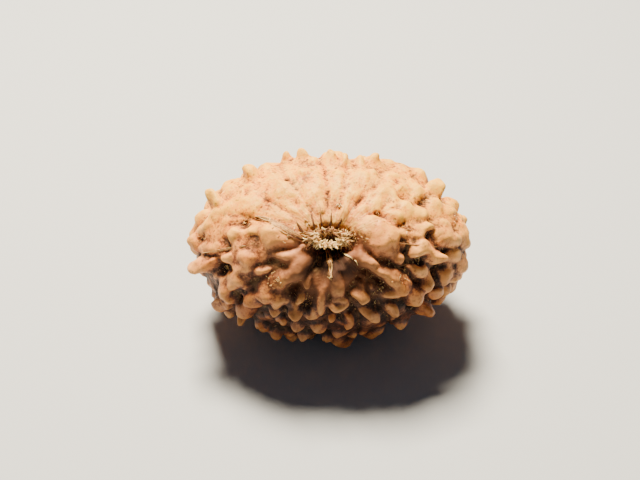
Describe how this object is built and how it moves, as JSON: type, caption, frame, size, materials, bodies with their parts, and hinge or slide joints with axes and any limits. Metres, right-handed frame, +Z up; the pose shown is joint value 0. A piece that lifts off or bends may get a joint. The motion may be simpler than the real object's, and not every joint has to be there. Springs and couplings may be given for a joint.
{
  "type": "rudraksha seed",
  "caption": "Lobed, knobbly dry seed stone lying on its side, with a frayed ring of stalk fibre in the pit at its end.",
  "frame": {"origin": "the point on the floor under the middle of the seed's bounding box", "axes": "+X along the seed's longest side, +Z up, the stalk end facing -Y and up"},
  "size_m": [0.028, 0.0204, 0.0195],
  "materials": {
    "stone": "dry woody stone, dull with a slight sheen on the knobs",
    "fibre": "dry straw-coloured plant fibre, dull"
  },
  "bodies": {
    "root": {"seed_stone": "stone", "stalk_fibre_ring": "fibre"}
  },
  "joints": []
}
